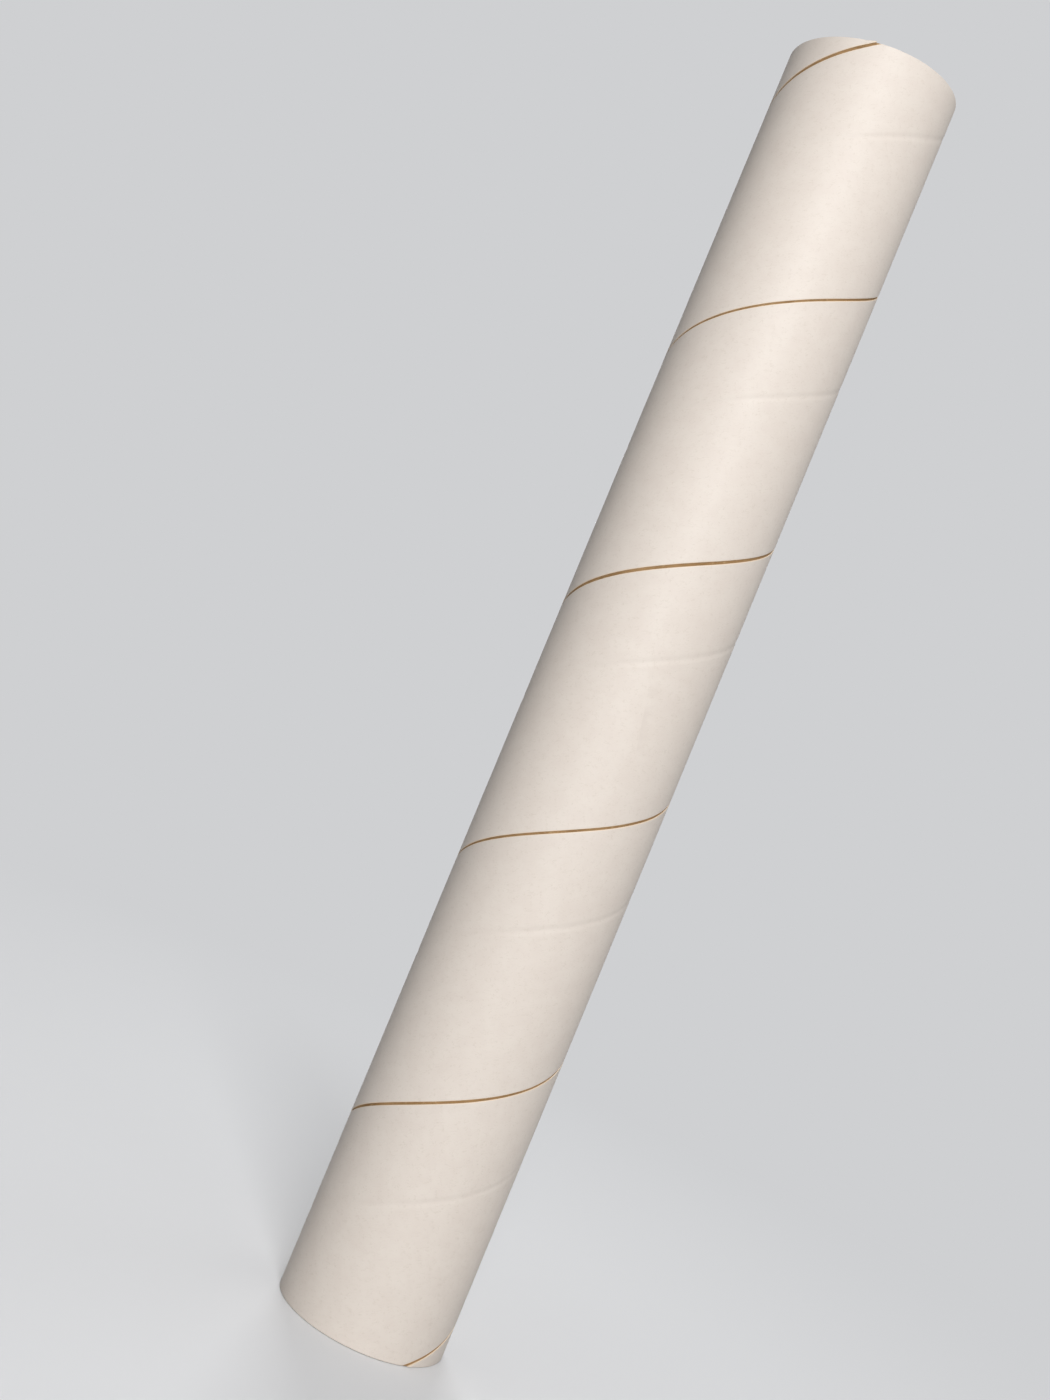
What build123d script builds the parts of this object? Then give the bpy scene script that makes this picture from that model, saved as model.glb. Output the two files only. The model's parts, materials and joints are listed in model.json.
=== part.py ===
from build123d import *
import math
import os

# Straight spiral-wound mailing tube, standing on its lower end.
# Millimetres and degrees, Z along the tube, origin at the centre of the lower end, front towards -Y.

# Tube
bore_diameter = 76.2
tube_length = 609.6

# Brown board wall: the glued inner plies, set into one stiff layer
board_wall = 1.143

# White outer ply: one strip, wound as a right-handed helix
ply_thickness = 0.381
strip_width = 110.3
seam_gap = 1.3
seam_base_angle = -52.0

# Distance that a cutter runs past the material it removes
cut_overrun = 1.0

# Radii of the three round surfaces
bore_radius = bore_diameter / 2
board_radius = bore_radius + board_wall
outer_radius = board_radius + ply_thickness

# Winding angle and rise of one turn: strip and gap together fill the surface exactly once
outer_girth = 2 * math.pi * outer_radius
winding_angle = math.asin((strip_width + seam_gap) / outer_girth)
seam_lead = outer_girth * math.tan(winding_angle)


def round_layer(inner_radius, layer_radius):
    """Round layer of the tube between two radii, standing on the lower end."""
    return extrude(Circle(layer_radius) - Circle(inner_radius), tube_length)


def seam_cutter():
    """Helical bar along the open seam, through the ply's whole thickness and past both ends."""
    run_out = seam_gap + cut_overrun
    path = Helix(
        pitch=seam_lead,
        height=tube_length + 2 * run_out,
        radius=board_radius + ply_thickness / 2,
        center=(0, 0, -run_out),
    )
    path = path.rotate(Axis.Z, seam_base_angle - 360 * run_out / seam_lead)
    start = path @ 0
    across_seam = Plane(origin=start, x_dir=(start.X, start.Y, 0), z_dir=path % 0)
    section = across_seam * Rectangle(ply_thickness + 2 * cut_overrun, seam_gap)
    return sweep(section, path=path, is_frenet=True)


def make_brown_tube_wall():
    """Hollow board wall, open at both ends and cut square."""
    return round_layer(bore_radius, board_radius)


def make_white_outer_ply():
    """Paper strip round the board, its two edges parted by the open helical seam."""
    return round_layer(board_radius, outer_radius) - seam_cutter()


pieces = {
    "brown_tube_wall": make_brown_tube_wall(),
    "white_outer_ply": make_white_outer_ply(),
}

os.makedirs("parts", exist_ok=True)
for node, piece in pieces.items():
    piece.label = node
    export_step(piece, os.path.join("parts", node + ".step"))
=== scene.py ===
"""Spiral-wound cardboard tube: brown board wall, white outer ply and a plain studio stage."""

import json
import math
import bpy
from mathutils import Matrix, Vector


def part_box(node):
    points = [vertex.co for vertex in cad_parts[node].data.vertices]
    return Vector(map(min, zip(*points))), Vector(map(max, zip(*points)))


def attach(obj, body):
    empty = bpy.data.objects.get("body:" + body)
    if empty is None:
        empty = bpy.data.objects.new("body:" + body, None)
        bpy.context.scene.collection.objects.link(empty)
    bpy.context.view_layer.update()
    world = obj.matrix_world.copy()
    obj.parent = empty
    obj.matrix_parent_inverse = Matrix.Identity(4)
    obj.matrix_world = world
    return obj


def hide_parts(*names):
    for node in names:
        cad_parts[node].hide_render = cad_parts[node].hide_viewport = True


bl_info = {
    "name": "Cardboard tube",
    "version": (1, 0, 0),
    "blender": (4, 5, 0),
    "location": "View3D > Sidebar > Cardboard tube",
    "description": "Builds a spiral-wound cardboard tube with its paper finishes, and a plain stage",
    "category": "Add Mesh",
}

import bmesh
import bpy
from bpy.props import FloatProperty, FloatVectorProperty, IntProperty, PointerProperty
from bpy.types import NodeSocket, Operator, Panel, PropertyGroup
from mathutils import Color, Matrix, Vector, noise

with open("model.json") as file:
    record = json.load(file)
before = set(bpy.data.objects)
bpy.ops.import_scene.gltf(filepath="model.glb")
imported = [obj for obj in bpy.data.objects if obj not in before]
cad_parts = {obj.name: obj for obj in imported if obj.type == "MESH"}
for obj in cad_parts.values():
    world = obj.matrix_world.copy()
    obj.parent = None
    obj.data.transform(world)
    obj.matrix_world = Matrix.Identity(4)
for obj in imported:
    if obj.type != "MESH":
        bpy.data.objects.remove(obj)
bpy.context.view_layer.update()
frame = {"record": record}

# Places of the tube in the frame
BODY = "root"
WALL_NODE = "brown_tube_wall"
PLY_NODE = "white_outer_ply"
MM_PER_METRE = 1000
MOUNT_RADII = {
    mount["name"]: mount["dims"].get("r_mm", 0) / MM_PER_METRE for mount in frame["record"]["mounts"]
}
WALL_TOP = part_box(WALL_NODE)[1]

# Steps of one channel of a screen colour
SCREEN_STEPS = 255


def screen_colour(*steps):
    """Linear colour of a screen colour, given as red, green and blue in steps of 0 to 255."""
    return tuple(Color([step / SCREEN_STEPS for step in steps]).from_srgb_to_scene_linear())


def length_property(name, description, default):
    """Length in metres, shown in the scene's unit."""
    return FloatProperty(name=name, description=description, default=default, unit="LENGTH", precision=5)


def share_property(name, description, default):
    """Plain share of a whole."""
    return FloatProperty(
        name=name, description=description, default=default, min=0.0, max=1.0, subtype="FACTOR"
    )


def angle_property(name, description, degrees):
    """Angle, written in degrees and kept in radians."""
    return FloatProperty(
        name=name, description=description, default=math.radians(degrees), subtype="ANGLE"
    )


def colour_property(name, description, default):
    """Opaque surface colour."""
    return FloatVectorProperty(
        name=name, description=description, default=default, size=3, min=0.0, max=1.0, subtype="COLOR"
    )


def power_property(name, description, default):
    """Power of a lamp in watts."""
    return FloatProperty(name=name, description=description, default=default, min=0.0, unit="POWER")


def pixel_property(name, description, default):
    """Length in pixels of the full frame."""
    return FloatProperty(name=name, description=description, default=default, subtype="PIXEL")


def count_property(name, description, default, least):
    """Whole number of like things, and the least that still makes the shape."""
    return IntProperty(name=name, description=description, default=default, min=least)


class TubeSizes(PropertyGroup):
    """Sizes of the tube and of the strip that is wound round it."""
    bore_radius: length_property("Bore radius", "Inside radius of the board wall", MOUNT_RADII["bore"])
    board_radius: length_property("Board radius", "Outside radius of the board wall", WALL_TOP.x)
    outer_radius: length_property("Outer radius", "Outside radius of the ply", MOUNT_RADII["outside"])
    tube_length: length_property("Tube length", "Distance between the two cut ends", WALL_TOP.z)
    strip_width: length_property("Strip width", "Width of the white paper strip", 0.1103)
    seam_gap: length_property("Seam gap", "Usual width of the open seam, across it", 0.0013)
    seam_base_angle: angle_property("Seam base", "Angle at which the seam leaves the lower end", -52.0)
    board_plies: count_property("Board plies", "Plies that show in the cut wall", 3, least=1)
    columns_per_turn: count_property("Columns", "Mesh columns in one turn", 200, least=32)


class PlyRelief(PropertyGroup):
    """Small unevenness of the white ply."""
    seam_drift: length_property("Seam drift", "How far the seam strays from an even helix", 0.0003)
    seam_fray: length_property("Edge fray", "Unevenness of the strip's slit edges", 0.00007)
    edge_softness: length_property("Edge softness", "Width over which a slit edge rolls off", 0.00035)
    edge_drop: length_property("Edge drop", "How far a slit edge rolls off", 0.0001)
    edge_curl: length_property("Edge curl", "How far the strip lifts beside the seam", 0.00005)
    curl_reach: length_property("Curl reach", "Distance over which that lift dies away", 0.003)
    rim_softness: length_property("Rim softness", "Roll-off where the ends are cut", 0.00009)
    valley_width: length_property("Valley width", "Width of the dip over the ply joint below", 0.0044)
    valley_depth: length_property("Valley depth", "Depth of that dip", 0.00015)
    valley_share: share_property("Valley place", "Height of the dip between two turns of the seam", 0.63)
    ripple_height: length_property("Ripple height", "Height of the soft ripples of the paper", 0.00004)
    ripple_length: length_property("Ripple length", "Length of those ripples", 0.016)
    tip_lift: length_property("Tip lift", "How far the pointed ends of the strip stand off", 0.00035)
    tip_rise: length_property("Tip rise", "How far the upper point stands above the rim", 0.0004)
    tip_reach: length_property("Tip reach", "Length of the lifted points", 0.0045)


class WallRelief(PropertyGroup):
    """Small unevenness of the brown board wall."""
    joint_angle: angle_property("Joint base", "Angle of the inner ply's joint at the lower end", 118.0)
    joint_width: length_property("Joint width", "Width of the inner ply's butt joint", 0.0006)
    joint_depth: length_property("Joint depth", "Depth of the inner ply's butt joint", 0.00028)
    joint_lap: length_property("Joint roll-off", "Width of the ply's roll-off beside its joint", 0.0012)
    ply_line_width: length_property("Ply line width", "Width of the ply lines in the cut ends", 0.0001)
    ply_line_depth: length_property("Ply line depth", "Depth of those lines", 0.00009)
    cut_roughness: length_property("Cut roughness", "Unevenness of the cut ends", 0.00006)
    rim_softness: length_property("Rim softness", "Roll-off at the edge of the bore", 0.00012)


class PaperLook(PropertyGroup):
    """Colours of the white ply."""
    white: colour_property("White", "Main colour of the paper", screen_colour(238, 228, 218))
    shade: colour_property("Shade", "Colour of the paper's darker clouds", screen_colour(235, 224, 214))
    # Painted shade: the darker colour to the right of a small crease on the front
    fibre: colour_property("Fibre", "Colour of single fibres", screen_colour(216, 204, 190))
    crease_shade: colour_property("Crease shade", "Colour of the small rub mark", screen_colour(230, 219, 209))
    slit_edge: colour_property("Slit edge", "Colour of the bare edges", screen_colour(243, 226, 205))


class BoardLook(PropertyGroup):
    """Colours of the brown board."""
    brown: colour_property("Brown", "Main colour of the board", screen_colour(175, 140, 98))
    shade: colour_property("Shade", "Colour of the board's darker clouds", screen_colour(150, 117, 78))
    light_fibre: colour_property("Light fibre", "Colour of pale fibres", screen_colour(203, 173, 132))
    dark_fleck: colour_property("Dark fleck", "Colour of dark flecks", screen_colour(104, 76, 48))
    cut_end: colour_property("Cut end", "Colour of the cut plies", screen_colour(184, 152, 112))


class StageLook(PropertyGroup):
    """Floor, light and camera."""
    backdrop: colour_property("Backdrop", "Colour behind the tube", screen_colour(207, 208, 210))
    floor: colour_property("Floor", "Colour of the floor", screen_colour(229, 230, 232))
    floor_bounce: colour_property("Floor bounce", "Colour of the light it throws back", (0.4, 0.4, 0.4))
    floor_radius: length_property("Floor radius", "Radius of the floor", 6.0)
    fade_start: length_property("Fade start", "Where the floor starts to fade into the backdrop", 0.15)
    fade_end: length_property("Fade end", "Where the floor has faded", 0.8)
    ambient: share_property("Ambient", "Light that comes from all sides", 0.05)
    key_power: power_property("Key power", "Power of the lamp in front", 65.0)
    side_power: power_property("Side power", "Power of the lamp on the right, towards the back", 0.9)
    rear_power: power_property("Rear power", "Power of the lamp behind", 30.0)
    top_power: power_property("Top power", "Power of the lamp above", 13.5)
    camera_distance: length_property("Camera distance", "From the tube's axis to the camera", 0.73389)
    camera_height: length_property("Camera height", "Height of the camera above the floor", 0.25644)
    camera_pan: angle_property("Camera pan", "Turn of the camera to the left of the axis", 8.3527)
    camera_tilt: angle_property("Camera tilt", "Upward tilt of the camera", 2.1371)
    camera_roll: angle_property("Camera roll", "Roll that makes the tube lean", 22.7916)
    focal_px: pixel_property("Focal length", "Focal length of the lens", 1593.5)
    shift_right_px: pixel_property("Shift right", "Shift of the lens to the right", 138.2)
    shift_up_px: pixel_property("Shift up", "Shift of the lens upwards", -56.1)


def smooth_step(share):
    """Smooth rise from 0 to 1 over shares of 0 to 1."""
    share = min(max(share, 0.0), 1.0)
    return share * share * (3 - 2 * share)


def polar(radius, angle, height):
    """Point at a radius and angle about the tube's axis."""
    return (radius * math.cos(angle), radius * math.sin(angle), height)


def even_steps(first, last, step):
    """Values from first to last, both included, about a step apart."""
    count = max(1, math.ceil((last - first) / step))
    return [first + (last - first) * index / count for index in range(count + 1)]


# Slow drift of the seam: crest and length of the wave in turns above the lower end
DRIFT_CREST_TURN = 1.6
DRIFT_TURNS = 3.25

# Width of the seam: turns above the lower end, and shares of the usual width there
SEAM_WIDTH_TURNS = (0.0, 0.85, 1.9, 2.6, 2.9, 3.1, 3.9, 4.45, 4.68, 4.85, 4.89)
SEAM_WIDTH_SHARES = (0.95, 0.88, 0.84, 1.34, 1.08, 1.00, 0.78, 0.85, 1.25, 1.20, 0.70)

# Unevenness of the slit edges: lengths of its slow and quick changes, and a seed for each edge
FRAY_SLOW_LENGTH = 0.014
FRAY_QUICK_LENGTH = 0.0022
FRAY_QUICK_SHARE = 0.45
LOWER_EDGE_SEED = 3.7
UPPER_EDGE_SEED = 9.1

# The strip's two edges, and the steps in which the place is found where an edge meets a rim
LOWER_EDGE = 0
UPPER_EDGE = 1
EDGE_SEARCH_STEPS = 6

# Layers of the noise, one for each kind of unevenness
FRAY_SLOW_LAYER = 0
FRAY_QUICK_LAYER = 1
CURL_LAYER = 2
VALLEY_LAYER = 5


class Winding:
    """The helix that every ply follows: one lead and one angle for the whole tube."""

    def __init__(self, sizes, relief):
        girth = math.tau * sizes.outer_radius
        self.radius = sizes.outer_radius
        self.angle = math.asin((sizes.strip_width + sizes.seam_gap) / girth)
        self.lead = girth * math.tan(self.angle)
        self.base = sizes.seam_base_angle
        self.gap = sizes.seam_gap
        self.relief = relief

    def turns(self, angle):
        """Turns of the seam between the lower end and a running angle."""
        return (angle - self.base) / math.tau

    def seam_height(self, angle):
        """Height of the seam's middle at a running angle, with the seam's slow drift."""
        turns = self.turns(angle)
        drift = self.relief.seam_drift * math.cos(math.tau * (turns - DRIFT_CREST_TURN) / DRIFT_TURNS)
        return self.lead * turns + drift

    def half_gap(self, angle):
        """Half of the seam's width, measured up the tube, at a running angle."""
        turns = self.turns(angle)
        share = SEAM_WIDTH_SHARES[0]
        stops = list(zip(SEAM_WIDTH_TURNS, SEAM_WIDTH_SHARES))
        for (turn, width), (next_turn, next_width) in zip(stops, stops[1:]):
            share += (next_width - width) * smooth_step((turns - turn) / (next_turn - turn))
        return self.gap * share / 2 / math.cos(self.angle)

    def fray(self, angle, seed):
        """Unevenness of one slit edge, measured up the tube."""
        along = self.radius * angle / math.cos(self.angle)
        slow = noise.noise(Vector((along / FRAY_SLOW_LENGTH, seed, FRAY_SLOW_LAYER)))
        quick = noise.noise(Vector((along / FRAY_QUICK_LENGTH, seed, FRAY_QUICK_LAYER)))
        return self.relief.seam_fray * (slow + FRAY_QUICK_SHARE * quick)

    def strip_edges(self, angle):
        """Heights of the strip's lower and upper edge at a running angle."""
        low = self.seam_height(angle) + self.half_gap(angle) + self.fray(angle, LOWER_EDGE_SEED)
        above = angle + math.tau
        high = self.seam_height(above) - self.half_gap(above) + self.fray(above, UPPER_EDGE_SEED)
        return low, high

    def angle_where(self, edge, height):
        """Running angle at which the strip's lower or upper edge reaches a height."""
        angle = self.base + math.tau * (height / self.lead - edge)
        for _ in range(EDGE_SEARCH_STEPS):
            angle += math.tau * (height - self.strip_edges(angle)[edge]) / self.lead
        return angle

    def along(self, angle, height):
        """Distance along the strip of a point on the tube."""
        return self.radius * angle * math.cos(self.angle) + height * math.sin(self.angle)

    def across(self, angle, height):
        """Distance across the winding of a point on the tube."""
        return height * math.cos(self.angle) - self.radius * (angle - self.base) * math.sin(self.angle)


# Name of the mesh layer that holds each corner's place in the winding
UV_NAME = "winding"

# Points closer than this are one point, and faces that meet at more than this angle meet in a sharp edge
MERGE_DISTANCE = 1e-7
SHARP_ANGLE = math.radians(40)


class MeshDraft:
    """Points, faces and corner places in the winding, gathered before a mesh is made of them."""

    def __init__(self):
        self.points = []
        self.places = []
        self.faces = []

    def add(self, point, place):
        """Adds one point with its place in the winding and returns its number."""
        self.points.append(point)
        self.places.append(place)
        return len(self.points) - 1

    def skin(self, columns, closed):
        """Covers neighbouring columns of points with faces; a closed column joins its ends."""
        for left, right in zip(columns, columns[1:]):
            rows = len(left)
            for row in range(rows if closed else rows - 1):
                up = (row + 1) % rows
                self.faces.append((left[row], right[row], right[up], left[up]))

    def make(self, name):
        """Makes the mesh: joins points that coincide and turns all faces of the closed skin outwards."""
        mesh = bpy.data.meshes.new(name)
        mesh.from_pydata(self.points, [], self.faces)
        layer = mesh.uv_layers.new(name=UV_NAME)
        for loop in mesh.loops:
            layer.data[loop.index].uv = self.places[loop.vertex_index]
        work = bmesh.new()
        work.from_mesh(mesh)
        bmesh.ops.remove_doubles(work, verts=work.verts, dist=MERGE_DISTANCE)
        bmesh.ops.dissolve_degenerate(work, edges=work.edges, dist=MERGE_DISTANCE)
        bmesh.ops.recalc_face_normals(work, faces=work.faces)
        loose = [point for point in work.verts if not point.link_faces]
        bmesh.ops.delete(work, geom=loose, context="VERTS")
        open_edges = sum(not edge.is_manifold for edge in work.edges)
        work.to_mesh(mesh)
        work.free()
        if open_edges:
            raise RuntimeError(f"{name} is not closed: {open_edges} open edges")
        mesh.shade_smooth()
        mesh.set_sharp_from_angle(angle=SHARP_ANGLE)
        mesh.update()
        return mesh


def place_piece(name, mesh, material, node):
    """Puts a finished piece in the scene in place of its plain solid."""
    mesh.materials.append(material)
    piece = bpy.data.objects.new(name, mesh)
    bpy.context.scene.collection.objects.link(piece)
    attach(piece, BODY)
    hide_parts(node)


# Rows of the white ply: distances from each slit edge, spacing between, and shares across the valley
EDGE_ROWS = (0.0, 0.00007, 0.00018, 0.00035, 0.0008, 0.0016, 0.003)
ROW_SPACING = 0.0027
VALLEY_ROW_SHARES = (-0.7, -0.5, -0.38, -0.26, -0.14, -0.05, 0.05, 0.14, 0.26, 0.38, 0.5, 0.7)

# Depth of the row in the slit faces as a share of the thickness, and how far the ply sinks into its glue
SLIT_FACE_SHARE = 0.4
GLUE_SINK = 0.00002

# Slow changes along the strip, as lengths in metres and shares
CURL_LENGTH = 0.03
CURL_MEAN_SHARE = 0.5
VALLEY_FADE_LENGTH = 0.06
VALLEY_FADE_SHARE = 0.3

# Ripples: how far they are drawn out along the strip, and the finer ripples on them
RIPPLE_STRETCH = 1.8
RIPPLE_FINE_RATIO = 2.7
RIPPLE_FINE_SHARE = 0.35


def ply_rows(sizes, relief):
    """Closed section of the white ply: share across the strip, depth share and rim inset of each row."""
    width = sizes.strip_width
    valley = relief.valley_share * (width + sizes.seam_gap) - sizes.seam_gap / 2
    inner = EDGE_ROWS[-1]
    dip = [valley + share * relief.valley_width for share in VALLEY_ROW_SHARES]
    offsets = [*EDGE_ROWS[:-1], *even_steps(inner, dip[0], ROW_SPACING)[:-1], *dip]
    offsets += even_steps(dip[-1], width - inner, ROW_SPACING)[1:]
    offsets += [width - row for row in reversed(EDGE_ROWS[:-1])]
    outside = [(offset / width, 0.0, relief.rim_softness) for offset in offsets]
    upper_face = [(1.0, SLIT_FACE_SHARE, 0.0), (1.0, 1.0, 0.0)]
    glued_middle = [(0.5, 1.0, 0.0)]
    lower_face = [(0.0, 1.0, 0.0), (0.0, SLIT_FACE_SHARE, 0.0)]
    return outside + upper_face + glued_middle + lower_face


def ply_relief(winding, relief, angle, height, low, high, tip):
    """How far the outside of the white ply stands above its even radius."""
    lean = math.cos(winding.angle)
    along = winding.along(angle, height)
    across = winding.across(angle, height)

    edge = max(min(height - low, high - height) * lean, 0.0)
    drop = relief.edge_drop * max(1 - edge / relief.edge_softness, 0.0) ** 2
    curl_share = CURL_MEAN_SHARE + noise.noise(Vector((along / CURL_LENGTH, low, CURL_LAYER)))
    curl = relief.edge_curl * curl_share * math.exp(-edge / relief.curl_reach)

    middle = winding.seam_height(angle) + relief.valley_share * winding.lead
    valley_place = abs(height - middle) * lean / (relief.valley_width / 2)
    fade = VALLEY_FADE_SHARE * noise.noise(Vector((along / VALLEY_FADE_LENGTH, 0, VALLEY_LAYER)))
    valley = relief.valley_depth * (1 + fade) * (1 - smooth_step(valley_place))

    spot = Vector((along / RIPPLE_STRETCH, across, 0)) / relief.ripple_length
    fine = RIPPLE_FINE_SHARE * noise.noise(spot * RIPPLE_FINE_RATIO)
    ripple = relief.ripple_height * (noise.noise(spot) + fine)
    return curl + ripple - drop - valley + relief.tip_lift * tip


def white_ply_mesh(sizes, relief):
    """Wound paper strip: slit edges, dip over the joint below, soft ripples and lifted points."""
    winding = Winding(sizes, relief)
    rows = ply_rows(sizes, relief)
    step = math.tau / sizes.columns_per_turn
    thickness = sizes.outer_radius - sizes.board_radius + GLUE_SINK
    first = winding.angle_where(UPPER_EDGE, relief.rim_softness)
    last = winding.angle_where(LOWER_EDGE, sizes.tube_length - relief.rim_softness)
    draft = MeshDraft()
    columns = []
    for angle in even_steps(first, last, step):
        low, high = winding.strip_edges(angle)
        low_tip = smooth_step(1 - (angle - first) * sizes.outer_radius / relief.tip_reach)
        high_tip = smooth_step(1 - (last - angle) * sizes.outer_radius / relief.tip_reach)
        rim = sizes.tube_length + relief.tip_rise * high_tip
        column = []
        for across_share, depth_share, inset in rows:
            height = low + (high - low) * across_share
            height = min(max(height, inset), rim - inset)
            stand = ply_relief(winding, relief, angle, height, low, high, max(low_tip, high_tip))
            radius = sizes.outer_radius + stand * (1 - depth_share) - thickness * depth_share
            place = (winding.along(angle, height), across_share * sizes.strip_width)
            column.append(draft.add(polar(radius, angle, height), place))
        columns.append(column)
    draft.skin(columns, closed=True)
    draft.faces.append(tuple(columns[0]))
    draft.faces.append(tuple(reversed(columns[-1])))
    return draft.make("white_ply")


# Rows of the bore and of the wall's outside
BORE_ROW_SPACING = 0.009
OUTSIDE_ROW_SPACING = 0.03

# Shape of the inner ply's joint, in shares of its width, its roll-off and its depth
JOINT_FLOOR_SHARE = 0.7
JOINT_LAP_SHARES = (0.3, 0.65, 1.0)
JOINT_LIP_SHARE = 0.18

# Soft ripples of the bore, which die away at the ends
BORE_RIPPLE = 0.00004
BORE_RIPPLE_LENGTH = 0.018
END_BLEND = 0.0015

# Size of the torn fibres in a cut end
CUT_GRAIN = 0.0011


def bore_rows(relief, lead):
    """Rows of the bore across one turn, in metres from the inner ply's joint."""
    half_joint = relief.joint_width / 2
    near = [0.0, half_joint * JOINT_FLOOR_SHARE, half_joint]
    near += [half_joint + relief.joint_lap * share for share in JOINT_LAP_SHARES]
    near += even_steps(near[-1] + BORE_ROW_SPACING / 2, lead / 2, BORE_ROW_SPACING)
    return sorted({-row for row in near} | set(near))


def bore_relief(sizes, relief, winding, angle, height):
    """How far the bore's surface is set back into the board, at the inner ply's joint and elsewhere."""
    turn_offset = (height - winding.lead * angle / math.tau) / winding.lead
    distance = abs(turn_offset - round(turn_offset)) * winding.lead * math.cos(winding.angle)
    half_joint = relief.joint_width / 2
    groove = 1 - smooth_step((distance / half_joint - JOINT_FLOOR_SHARE) / (1 - JOINT_FLOOR_SHARE))
    lip = JOINT_LIP_SHARE * (1 - smooth_step((distance - half_joint) / relief.joint_lap))
    spot = Vector(polar(sizes.bore_radius, angle, height)) / BORE_RIPPLE_LENGTH
    from_end = min(height, sizes.tube_length - height) - relief.rim_softness
    depth = relief.joint_depth * max(groove, lip) + BORE_RIPPLE * noise.noise(spot)
    return depth * smooth_step(from_end / END_BLEND)


def skin_bore(draft, sizes, relief, winding):
    """Covers the bore in rows that follow the inner ply's joint, half a turn past each end."""
    step = math.tau / sizes.columns_per_turn
    turns = sizes.tube_length / winding.lead + 1
    rows = bore_rows(relief, winding.lead)
    columns = []
    for index in range(math.ceil(turns * sizes.columns_per_turn) + 1):
        angle = index * step - math.pi
        middle = winding.lead * angle / math.tau
        column = []
        for row in rows:
            height = max(middle + row, relief.rim_softness)
            height = min(height, sizes.tube_length - relief.rim_softness)
            radius = sizes.bore_radius + bore_relief(sizes, relief, winding, angle, height)
            place = (winding.along(angle, height), winding.across(angle, height))
            column.append(draft.add(polar(radius, angle + relief.joint_angle, height), place))
        columns.append(column)
    draft.skin(columns, closed=False)


def end_rings(sizes, relief):
    """Rings of a cut end from the bore outwards: radius and depth below the cut."""
    rings = [(sizes.bore_radius, relief.rim_softness), (sizes.bore_radius + relief.rim_softness, 0.0)]
    ply = (sizes.board_radius - sizes.bore_radius) / sizes.board_plies
    half_line = relief.ply_line_width / 2
    for index in range(1, sizes.board_plies):
        line = sizes.bore_radius + ply * index
        rings.append((line - ply / 2, 0.0))
        rings.append((line - half_line, 0.0))
        rings.append((line, relief.ply_line_depth))
        rings.append((line + half_line, 0.0))
    rings.append((sizes.board_radius - ply / 2, 0.0))
    rings.append((sizes.board_radius, 0.0))
    return rings


def end_point(draft, relief, radius, angle, depth, height, inwards):
    """Point of a cut end, set a little into the board where the cut is rough."""
    rough = (1 + noise.noise(Vector(polar(radius, angle, height)) / CUT_GRAIN)) / 2
    # The edge of the bore stays even, so that the cut end meets the bore
    if depth == relief.rim_softness:
        rough = 0.0
    place = (angle * radius, height + inwards * radius)
    below = depth + relief.cut_roughness * rough
    return draft.add(polar(radius, angle, height + inwards * below), place)


def skin_outside(draft, sizes, relief, winding):
    """Covers both cut ends and the wall's outside, from bore to bore."""
    step = math.tau / sizes.columns_per_turn
    rings = end_rings(sizes, relief)
    heights = even_steps(0.0, sizes.tube_length, OUTSIDE_ROW_SPACING)
    columns = []
    for index in range(sizes.columns_per_turn + 1):
        angle = index * step - math.pi
        turned = angle + relief.joint_angle
        column = []
        for radius, depth in rings:
            column.append(end_point(draft, relief, radius, turned, depth, heights[0], 1))
        for height in heights[1:-1]:
            place = (winding.along(angle, height), winding.across(angle, height))
            column.append(draft.add(polar(sizes.board_radius, turned, height), place))
        for radius, depth in reversed(rings):
            column.append(end_point(draft, relief, radius, turned, depth, heights[-1], -1))
        columns.append(column)
    draft.skin(columns, closed=False)


def brown_wall_mesh(sizes, ply, relief):
    """Hollow board wall: butt joint of the inner ply in the bore, and ply lines in the cut ends."""
    winding = Winding(sizes, ply)
    draft = MeshDraft()
    skin_bore(draft, sizes, relief, winding)
    skin_outside(draft, sizes, relief, winding)
    return draft.make("brown_wall")


# Sockets of a node that mixes two colours
MIX_COLOUR_INPUTS = (6, 7)
MIX_COLOUR_OUTPUT = 2


def add_node(tree, kind, **settings):
    """Adds a node with its settings."""
    node = tree.nodes.new(kind)
    for name, value in settings.items():
        setattr(node, name, value)
    return node


def math_node(tree, operation, *values):
    """Adds a sum on values, each a socket or a number, and returns its result."""
    node = add_node(tree, "ShaderNodeMath", operation=operation)
    for socket, value in zip(node.inputs, values):
        if isinstance(value, NodeSocket):
            tree.links.new(value, socket)
        else:
            socket.default_value = value
    return node.outputs["Value"]


def remap(tree, value, low, high, to_low=0.0, to_high=1.0):
    """Maps a value from one range to another, smoothly and within the ends."""
    node = add_node(tree, "ShaderNodeMapRange", interpolation_type="SMOOTHSTEP")
    tree.links.new(value, node.inputs["Value"])
    for name, number in (("From Min", low), ("From Max", high), ("To Min", to_low), ("To Max", to_high)):
        node.inputs[name].default_value = number
    return node.outputs["Result"]


def mix_colours(tree, factor, first, second):
    """Mixes two colours, each a socket or a colour, by a factor."""
    node = add_node(tree, "ShaderNodeMix", data_type="RGBA")
    tree.links.new(factor, node.inputs["Factor"])
    for index, value in zip(MIX_COLOUR_INPUTS, (first, second)):
        if isinstance(value, NodeSocket):
            tree.links.new(value, node.inputs[index])
        else:
            node.inputs[index].default_value = (*value, 1.0)
    return node.outputs[MIX_COLOUR_OUTPUT]


def tint(tree, colour, mask, share, other):
    """Mixes another colour in where a mask is set, up to a share."""
    return mix_colours(tree, math_node(tree, "MULTIPLY", mask, share), colour, other)


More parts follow.
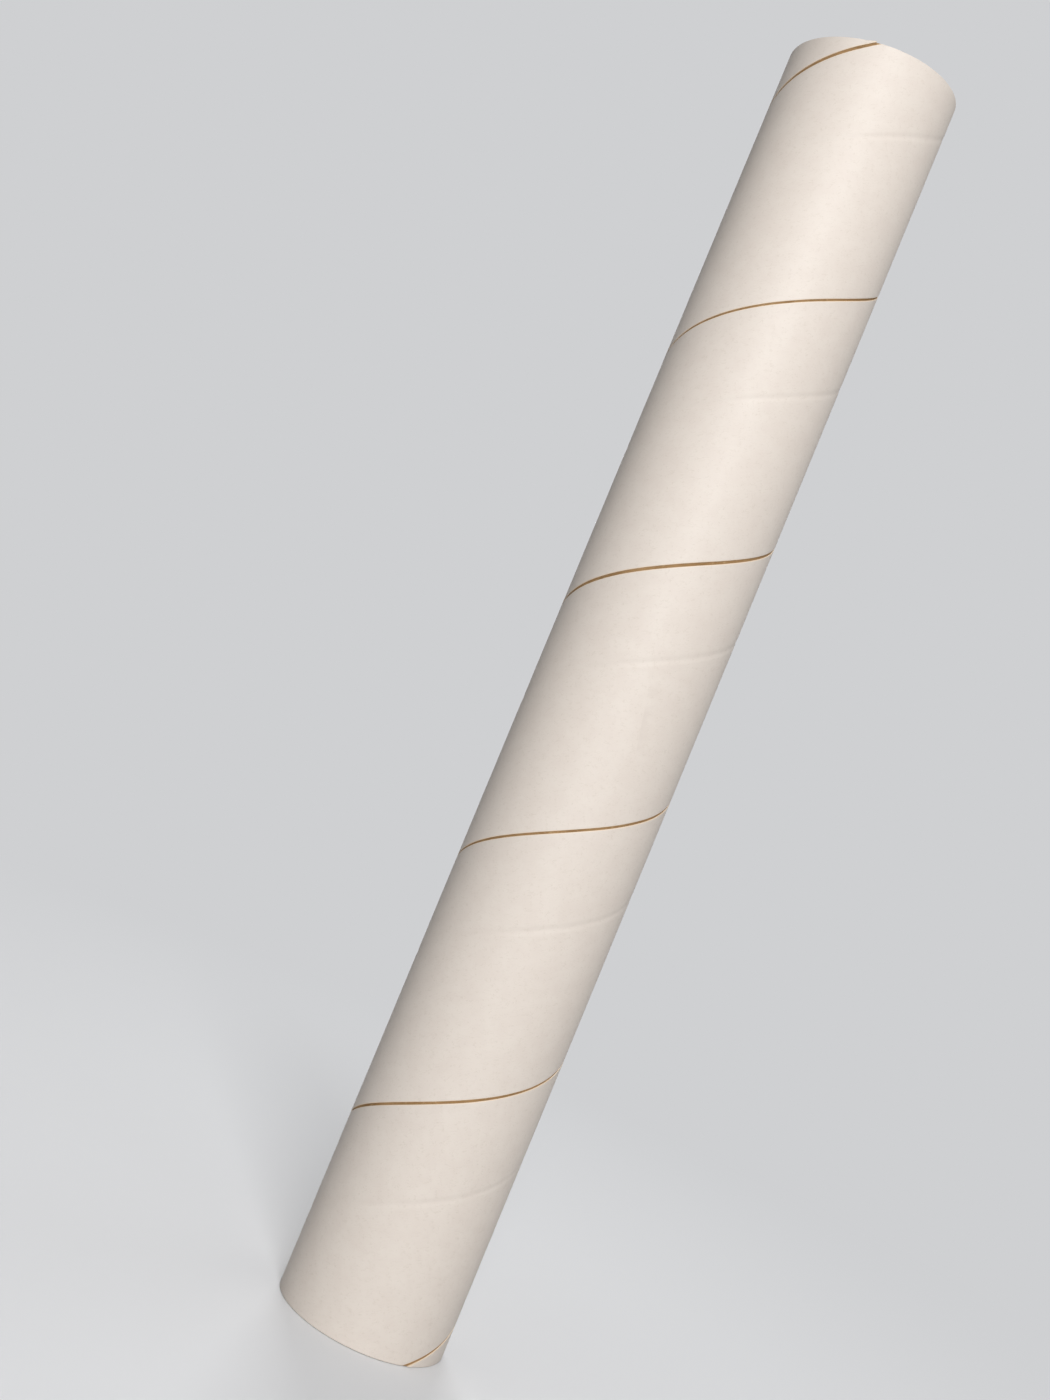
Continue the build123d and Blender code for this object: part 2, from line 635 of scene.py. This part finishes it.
def new_group(name, inputs, outputs):
    """Makes an empty node group with named sockets and returns its tree, inputs and outputs."""
    tree = bpy.data.node_groups.new(name, "ShaderNodeTree")
    for label, kind, default in inputs:
        socket = tree.interface.new_socket(label, in_out="INPUT", socket_type=kind)
        if default is not None:
            socket.default_value = default
    for label in outputs:
        tree.interface.new_socket(label, in_out="OUTPUT", socket_type="NodeSocketFloat")
    given = tree.nodes.new("NodeGroupInput")
    result = tree.nodes.new("NodeGroupOutput")
    return tree, given.outputs, result.inputs


def scaled_noise(tree, vector, size, detail, roughness):
    """Noise with features of the size that a socket gives."""
    node = add_node(tree, "ShaderNodeTexNoise", noise_dimensions="3D")
    node.inputs["Detail"].default_value = detail
    node.inputs["Roughness"].default_value = roughness
    tree.links.new(vector, node.inputs["Vector"])
    tree.links.new(math_node(tree, "DIVIDE", 1.0, size), node.inputs["Scale"])
    return node.outputs["Fac"]


# Detail and roughness of each noise, the middle of a noise and the part of its range that shows
CLOUD_NOISE = (4.0, 0.6)
FIBRE_NOISE = (2.0, 0.5)
PATCH_NOISE = (1.0, 0.5)
TOOTH_NOISE = (3.0, 0.6)
NOISE_MIDDLE = 0.5
NOISE_RANGE = (0.3, 0.7)

# Fibres: how far they are drawn out along the winding, their thickness and the patches that break them
FIBRE_STRETCH = 1.8
FIBRE_THICKNESS_SHARE = 0.03
FIBRE_PATCH_RATIO = 1.7
FIBRE_PATCH_RANGE = (0.42, 0.62)

# Flecks: how rare the large ones are, and the largest as a share of their spacing
FLECK_RARITY = 4.0
FLECK_LARGEST_SHARE = 0.16

# Shares of the rim band between which it fades out
RIM_FADE_SHARES = (0.4, 1.0)


def paper_grain_group():
    """Pulp of paper and board: soft clouds, curled fibres, flecks and the tooth of the surface."""
    length = "NodeSocketFloat"
    tree, given, result = new_group(
        "Paper grain",
        [
            ("Vector", "NodeSocketVector", None),
            ("Cloud Size", length, 0.007),
            ("Fibre Size", length, 0.0015),
            ("Fleck Size", length, 0.004),
            ("Tooth Size", length, 0.0004),
        ],
        ["Cloud", "Fibre", "Fleck", "Tooth"],
    )
    vector = given["Vector"]
    cloud = scaled_noise(tree, vector, given["Cloud Size"], *CLOUD_NOISE)
    tree.links.new(remap(tree, cloud, *NOISE_RANGE), result["Cloud"])

    stretched = add_node(tree, "ShaderNodeVectorMath", operation="MULTIPLY")
    stretched.inputs[1].default_value = (1 / FIBRE_STRETCH, 1.0, 1.0)
    tree.links.new(vector, stretched.inputs[0])
    curls = scaled_noise(tree, stretched.outputs["Vector"], given["Fibre Size"], *FIBRE_NOISE)
    thread = math_node(tree, "ABSOLUTE", math_node(tree, "SUBTRACT", curls, NOISE_MIDDLE))
    thread = remap(tree, thread, 0.0, FIBRE_THICKNESS_SHARE, 1.0, 0.0)
    patch_size = math_node(tree, "MULTIPLY", given["Fibre Size"], FIBRE_PATCH_RATIO)
    patch = scaled_noise(tree, vector, patch_size, *PATCH_NOISE)
    fibre = math_node(tree, "MULTIPLY", thread, remap(tree, patch, *FIBRE_PATCH_RANGE))
    tree.links.new(fibre, result["Fibre"])

    spots = add_node(tree, "ShaderNodeTexVoronoi", feature="F1")
    tree.links.new(math_node(tree, "DIVIDE", 1.0, given["Fleck Size"]), spots.inputs["Scale"])
    tree.links.new(vector, spots.inputs["Vector"])
    chosen = add_node(tree, "ShaderNodeSeparateColor")
    tree.links.new(spots.outputs["Color"], chosen.inputs["Color"])
    rare = math_node(tree, "POWER", chosen.outputs["Red"], FLECK_RARITY)
    size = math_node(tree, "MULTIPLY", rare, FLECK_LARGEST_SHARE)
    near = math_node(tree, "LESS_THAN", spots.outputs["Distance"], size)
    tree.links.new(near, result["Fleck"])

    tooth = scaled_noise(tree, vector, given["Tooth Size"], *TOOTH_NOISE)
    tree.links.new(tooth, result["Tooth"])
    return tree


def rim_band_group():
    """Mask of the bare paper close to the two cut ends of the tube."""
    tree, given, result = new_group(
        "Rim band",
        [
            ("Height", "NodeSocketFloat", 0.0),
            ("Tube Length", "NodeSocketFloat", 0.6),
            ("Band Width", "NodeSocketFloat", 0.0003),
        ],
        ["Mask"],
    )
    from_top = math_node(tree, "SUBTRACT", given["Tube Length"], given["Height"])
    nearest = math_node(tree, "MINIMUM", given["Height"], from_top)
    share = math_node(tree, "DIVIDE", nearest, given["Band Width"])
    tree.links.new(remap(tree, share, *RIM_FADE_SHARES, 1.0, 0.0), result["Mask"])
    return tree


def place_group(tree, name, builder, **values):
    """Puts a node group, built on first use, into a material with its own values."""
    node = tree.nodes.new("ShaderNodeGroup")
    node.node_tree = bpy.data.node_groups.get(name) or builder()
    for label, value in values.items():
        node.inputs[label.replace("_", " ").title()].default_value = value
    return node


def place_grain(tree, winding, feature_sizes):
    """Grain of a paper surface, laid along the winding."""
    grain = place_group(tree, "Paper grain", paper_grain_group, **feature_sizes)
    tree.links.new(winding, grain.inputs["Vector"])
    return grain.outputs


def place_rim(tree, height, sizes, band):
    """Mask of a paper surface close to the cut ends."""
    rim = place_group(tree, "Rim band", rim_band_group, tube_length=sizes.tube_length, band_width=band)
    tree.links.new(height, rim.inputs["Height"])
    return rim.outputs["Mask"]


def new_material(name):
    """Material with its tree, its surface shader and its places in the winding and in the tube."""
    material = bpy.data.materials.new(name)
    material.use_nodes = True
    tree = material.node_tree
    shader = tree.nodes["Principled BSDF"]
    winding = add_node(tree, "ShaderNodeUVMap", uv_map=UV_NAME)
    coordinates = tree.nodes.new("ShaderNodeTexCoord")
    place = tree.nodes.new("ShaderNodeSeparateXYZ")
    tree.links.new(coordinates.outputs["Object"], place.inputs["Vector"])
    return material, tree, shader, winding.outputs["UV"], place.outputs


def paper_surface(tree, shader, grain, roughness, fibre_share, strength, distance):
    """Gives a paper surface the roughness of its tooth and a fine relief of tooth and fibres."""
    tree.links.new(remap(tree, grain["Tooth"], *NOISE_RANGE, *roughness), shader.inputs["Roughness"])
    bump = tree.nodes.new("ShaderNodeBump")
    bump.inputs["Strength"].default_value = strength
    bump.inputs["Distance"].default_value = distance
    relief = math_node(tree, "MULTIPLY_ADD", grain["Fibre"], fibre_share, grain["Tooth"])
    tree.links.new(relief, bump.inputs["Height"])
    tree.links.new(bump.outputs["Normal"], shader.inputs["Normal"])


# Painted shade beside a small crease on the right of the front: heights of its ends and how it runs
# round the tube
CREASE_TOP = 0.310
CREASE_BOTTOM = 0.283
CREASE_TOP_AROUND = 0.0103
CREASE_LEAN_SHARE = 0.207
CREASE_EDGE = 0.0005
CREASE_SHADE_REACH = 0.007
CREASE_FADE = 0.004


def painted_crease_shade(tree, place, sizes):
    """Mask of painted shade beside a short crease, sharp on its left and fading to the right."""
    backwards = math_node(tree, "MULTIPLY", place["Y"], -1.0)
    angle = math_node(tree, "ARCTAN2", place["X"], backwards)
    around = math_node(tree, "MULTIPLY", angle, sizes.outer_radius)
    below = math_node(tree, "SUBTRACT", CREASE_TOP, place["Z"])
    line = math_node(tree, "MULTIPLY_ADD", below, CREASE_LEAN_SHARE, CREASE_TOP_AROUND)
    beside = math_node(tree, "SUBTRACT", around, line)
    edge = remap(tree, beside, 0.0, CREASE_EDGE)
    reach = remap(tree, beside, CREASE_EDGE, CREASE_SHADE_REACH, 1.0, 0.0)
    start = remap(tree, place["Z"], CREASE_BOTTOM - CREASE_FADE, CREASE_BOTTOM)
    end = remap(tree, place["Z"], CREASE_TOP, CREASE_TOP + CREASE_FADE, 1.0, 0.0)
    mask = math_node(tree, "MULTIPLY", edge, reach)
    span = math_node(tree, "MULTIPLY", start, end)
    return math_node(tree, "MULTIPLY", mask, span)


# White paper: sizes of its grain, bare bands at rims and slits, strength of its fibres, and its surface
PAPER_GRAIN = {"cloud_size": 0.009, "fibre_size": 0.0013, "tooth_size": 0.0005}
PAPER_RIM_BAND = 0.0002
PAPER_SLIT_BAND = (0.0001, 0.0005)
PAPER_FIBRE_SHARE = 0.45
PAPER_SPECULAR_SHARE = 0.36
PAPER_SURFACE = {"roughness": (0.46, 0.6), "fibre_share": 0.4, "strength": 0.3, "distance": 0.00005}

# Brown board: the same, with the strength of its flecks and of the paler cut ends
BOARD_GRAIN = {"cloud_size": 0.012, "fibre_size": 0.002, "fleck_size": 0.0035, "tooth_size": 0.0006}
BOARD_RIM_BAND = 0.0004
BOARD_FIBRE_SHARE = 0.55
BOARD_FLECK_SHARE = 0.6
BOARD_CUT_SHARE = 0.6
BOARD_SPECULAR_SHARE = 0.25
BOARD_SURFACE = {"roughness": (0.78, 0.94), "fibre_share": 0.6, "strength": 0.4, "distance": 0.00008}


def white_paper_material(sizes, look):
    """Uncoated warm white paper: faint clouds and fibres, painted shade beside a small crease, and bare
    cream edges.
    """
    material, tree, shader, winding, place = new_material("white_paper")
    grain = place_grain(tree, winding, PAPER_GRAIN)
    rim = place_rim(tree, place["Z"], sizes, PAPER_RIM_BAND)
    strip = tree.nodes.new("ShaderNodeSeparateXYZ")
    tree.links.new(winding, strip.inputs["Vector"])
    from_low = strip.outputs["Y"]
    from_high = math_node(tree, "SUBTRACT", sizes.strip_width, from_low)
    edge = math_node(tree, "MINIMUM", from_low, from_high)
    slit = remap(tree, edge, *PAPER_SLIT_BAND, 1.0, 0.0)
    bare = math_node(tree, "MAXIMUM", slit, rim)

    colour = mix_colours(tree, grain["Cloud"], look.white, look.shade)
    colour = tint(tree, colour, grain["Fibre"], PAPER_FIBRE_SHARE, look.fibre)
    # Painted shade beside a small crease, broken up by the clouds
    colour = tint(tree, colour, painted_crease_shade(tree, place, sizes), grain["Cloud"], look.crease_shade)
    colour = mix_colours(tree, bare, colour, look.slit_edge)
    tree.links.new(colour, shader.inputs["Base Color"])
    shader.inputs["Specular IOR Level"].default_value = PAPER_SPECULAR_SHARE
    paper_surface(tree, shader, grain, **PAPER_SURFACE)
    return material


def brown_board_material(sizes, look):
    """Uncoated brown board: clouds, pale fibres and dark flecks, paler in the cut ends."""
    material, tree, shader, winding, place = new_material("brown_board")
    grain = place_grain(tree, winding, BOARD_GRAIN)
    rim = place_rim(tree, place["Z"], sizes, BOARD_RIM_BAND)

    colour = mix_colours(tree, grain["Cloud"], look.brown, look.shade)
    colour = tint(tree, colour, grain["Fibre"], BOARD_FIBRE_SHARE, look.light_fibre)
    colour = tint(tree, colour, grain["Fleck"], BOARD_FLECK_SHARE, look.dark_fleck)
    colour = tint(tree, colour, rim, BOARD_CUT_SHARE, look.cut_end)
    tree.links.new(colour, shader.inputs["Base Color"])
    shader.inputs["Specular IOR Level"].default_value = BOARD_SPECULAR_SHARE
    paper_surface(tree, shader, grain, **BOARD_SURFACE)
    return material


class TUBE_OT_brown_wall(Operator):
    """Builds the brown board wall with its cut plies and the joint in its bore"""
    bl_idname = "cardboard_tube.brown_wall"
    bl_label = "Brown board wall"

    def execute(self, context):
        scene = context.scene
        mesh = brown_wall_mesh(scene.tube_sizes, scene.tube_ply, scene.tube_wall)
        material = brown_board_material(scene.tube_sizes, scene.tube_board_look)
        place_piece("wound_brown_wall", mesh, material, WALL_NODE)
        return {"FINISHED"}


class TUBE_OT_white_ply(Operator):
    """Builds the white paper strip that is wound round the wall"""
    bl_idname = "cardboard_tube.white_ply"
    bl_label = "White outer ply"

    def execute(self, context):
        scene = context.scene
        mesh = white_ply_mesh(scene.tube_sizes, scene.tube_ply)
        material = white_paper_material(scene.tube_sizes, scene.tube_paper_look)
        place_piece("wound_white_ply", mesh, material, PLY_NODE)
        return {"FINISHED"}


# Floor: its place below the tube's end, its corners and its matt surface
FLOOR_DROP = 0.0002
FLOOR_SEGMENTS = 128
FLOOR_ROUGHNESS = 0.9
FLOOR_SPECULAR_SHARE = 0.1

# Colour of the light from all sides
AMBIENT_WHITE = (1.0, 1.0, 1.0, 1.0)


def seen_directly(tree):
    """Share of rays that show the stage itself: straight from the camera, mirrored or let through."""
    path = tree.nodes.new("ShaderNodeLightPath")
    shown = math_node(tree, "MAXIMUM", path.outputs["Is Camera Ray"], path.outputs["Is Glossy Ray"])
    return math_node(tree, "MAXIMUM", shown, path.outputs["Is Transmission Ray"])


def floor_material(look):
    """Pale matt floor that fades into the backdrop away from the tube."""
    material = bpy.data.materials.new("pale_floor")
    material.use_nodes = True
    tree = material.node_tree
    shader = tree.nodes["Principled BSDF"]
    seen = seen_directly(tree)
    tree.links.new(mix_colours(tree, seen, look.floor_bounce, look.floor), shader.inputs["Base Color"])
    shader.inputs["Roughness"].default_value = FLOOR_ROUGHNESS
    shader.inputs["Specular IOR Level"].default_value = FLOOR_SPECULAR_SHARE
    backdrop = tree.nodes.new("ShaderNodeEmission")
    backdrop.inputs["Color"].default_value = (*look.backdrop, 1.0)
    coordinates = tree.nodes.new("ShaderNodeTexCoord")
    distance = add_node(tree, "ShaderNodeVectorMath", operation="LENGTH")
    tree.links.new(coordinates.outputs["Object"], distance.inputs[0])
    fade = remap(tree, distance.outputs["Value"], look.fade_start, look.fade_end)
    mix = tree.nodes.new("ShaderNodeMixShader")
    tree.links.new(math_node(tree, "MULTIPLY", fade, seen), mix.inputs["Fac"])
    tree.links.new(shader.outputs["BSDF"], mix.inputs[1])
    tree.links.new(backdrop.outputs["Emission"], mix.inputs[2])
    tree.links.new(mix.outputs["Shader"], tree.nodes["Material Output"].inputs["Surface"])
    return material


def make_floor(look):
    """Round floor under the tube."""
    mesh = bpy.data.meshes.new("floor")
    work = bmesh.new()
    bmesh.ops.create_circle(work, cap_ends=True, segments=FLOOR_SEGMENTS, radius=look.floor_radius)
    work.to_mesh(mesh)
    work.free()
    mesh.materials.append(floor_material(look))
    floor = bpy.data.objects.new("floor", mesh)
    floor.location.z = -FLOOR_DROP
    bpy.context.scene.collection.objects.link(floor)


def make_world(look):
    """Even light from all sides, and the plain backdrop where it is seen directly."""
    world = bpy.data.worlds.new("studio")
    world.use_nodes = True
    tree = world.node_tree
    ambient = tree.nodes["Background"]
    ambient.inputs["Color"].default_value = AMBIENT_WHITE
    ambient.inputs["Strength"].default_value = look.ambient
    backdrop = tree.nodes.new("ShaderNodeBackground")
    backdrop.inputs["Color"].default_value = (*look.backdrop, 1.0)
    mix = tree.nodes.new("ShaderNodeMixShader")
    tree.links.new(seen_directly(tree), mix.inputs["Fac"])
    tree.links.new(ambient.outputs["Background"], mix.inputs[1])
    tree.links.new(backdrop.outputs["Background"], mix.inputs[2])
    tree.links.new(mix.outputs["Shader"], tree.nodes["World Output"].inputs["Surface"])
    bpy.context.scene.world = world


# Lamps: name, angle to the right of the front, height, distance and side length, in degrees and metres
LAMPS = {
    "key": (8.0, 1.35, 2.6, 1.1),
    "side": (118.0, 0.6, 1.4, 0.8),
    "rear": (-172.0, 1.0, 2.2, 0.9),
    "top": (0.0, 2.2, 0.0, 1.0),
}

# Lamp that gives no gleam, so that the tube's outline stays free of bright spots
MATT_LAMP = "rear"


def make_lamp(name, power, aim):
    """Square soft lamp that looks at the tube's middle."""
    right_of_front, height, distance, side = LAMPS[name]
    turn = math.radians(right_of_front)
    lamp = bpy.data.lights.new(name + "_lamp", "AREA")
    lamp.shape = "SQUARE"
    lamp.size = side
    lamp.energy = power
    holder = bpy.data.objects.new(name + "_lamp", lamp)
    holder.visible_glossy = name != MATT_LAMP
    holder.location = (distance * math.sin(turn), -distance * math.cos(turn), height)
    holder.rotation_mode = "QUATERNION"
    holder.rotation_quaternion = (Vector(aim) - holder.location).to_track_quat("-Z", "Y")
    bpy.context.scene.collection.objects.link(holder)


# Height of the full frame in pixels, and the sensor's side that lies along it
FRAME_HEIGHT_PX = 1400
SENSOR_LONG_SIDE_MM = 36.0


def make_camera(look):
    """Camera in front of the tube, rolled so that the standing tube leans in the picture."""
    data = bpy.data.cameras.new("camera")
    data.sensor_width = SENSOR_LONG_SIDE_MM
    data.lens = look.focal_px * SENSOR_LONG_SIDE_MM / FRAME_HEIGHT_PX
    data.shift_x = look.shift_right_px / FRAME_HEIGHT_PX
    data.shift_y = look.shift_up_px / FRAME_HEIGHT_PX
    camera = bpy.data.objects.new("camera", data)
    pan = Matrix.Rotation(look.camera_pan, 4, "Z")
    tilt = Matrix.Rotation(math.pi / 2 + look.camera_tilt, 4, "X")
    roll = Matrix.Rotation(look.camera_roll, 4, "Z")
    stand = Matrix.Translation((0, -look.camera_distance, look.camera_height))
    camera.matrix_world = stand @ pan @ tilt @ roll
    bpy.context.scene.collection.objects.link(camera)
    bpy.context.scene.camera = camera


class TUBE_OT_stage(Operator):
    """Sets up the plain floor, the soft lamps and the camera"""
    bl_idname = "cardboard_tube.stage"
    bl_label = "Stage"

    def execute(self, context):
        look = context.scene.tube_stage
        aim = (0, 0, context.scene.tube_sizes.tube_length / 2)
        make_floor(look)
        make_world(look)
        for name in LAMPS:
            make_lamp(name, getattr(look, name + "_power"), aim)
        make_camera(look)
        context.scene.view_settings.view_transform = "Standard"
        return {"FINISHED"}


class TUBE_PT_sidebar(Panel):
    """Lists the tube's pieces and their values"""
    bl_label = "Cardboard tube"
    bl_idname = "TUBE_PT_sidebar"
    bl_space_type = "VIEW_3D"
    bl_region_type = "UI"
    bl_category = "Cardboard tube"

    def draw(self, context):
        layout = self.layout
        for operator in OPERATORS:
            layout.operator(operator.bl_idname)
        for pointer, group in SETTINGS.items():
            values = getattr(context.scene, pointer)
            box = layout.box()
            box.label(text=group.__doc__)
            for name in group.__annotations__:
                box.prop(values, name)


SETTINGS = {
    "tube_sizes": TubeSizes,
    "tube_ply": PlyRelief,
    "tube_wall": WallRelief,
    "tube_paper_look": PaperLook,
    "tube_board_look": BoardLook,
    "tube_stage": StageLook,
}
OPERATORS = (TUBE_OT_brown_wall, TUBE_OT_white_ply, TUBE_OT_stage)


def register():
    """Registers the settings, operators and panel."""
    for pointer, group in SETTINGS.items():
        bpy.utils.register_class(group)
        setattr(bpy.types.Scene, pointer, PointerProperty(type=group))
    for operator in OPERATORS:
        bpy.utils.register_class(operator)
    bpy.utils.register_class(TUBE_PT_sidebar)


def unregister():
    """Removes what register added."""
    bpy.utils.unregister_class(TUBE_PT_sidebar)
    for operator in reversed(OPERATORS):
        bpy.utils.unregister_class(operator)
    for pointer, group in reversed(SETTINGS.items()):
        delattr(bpy.types.Scene, pointer)
        bpy.utils.unregister_class(group)


def main():
    """Builds the tube and its stage."""
    register()
    bpy.ops.cardboard_tube.brown_wall()
    bpy.ops.cardboard_tube.white_ply()
    bpy.ops.cardboard_tube.stage()


if __name__ == "__main__":
    main()
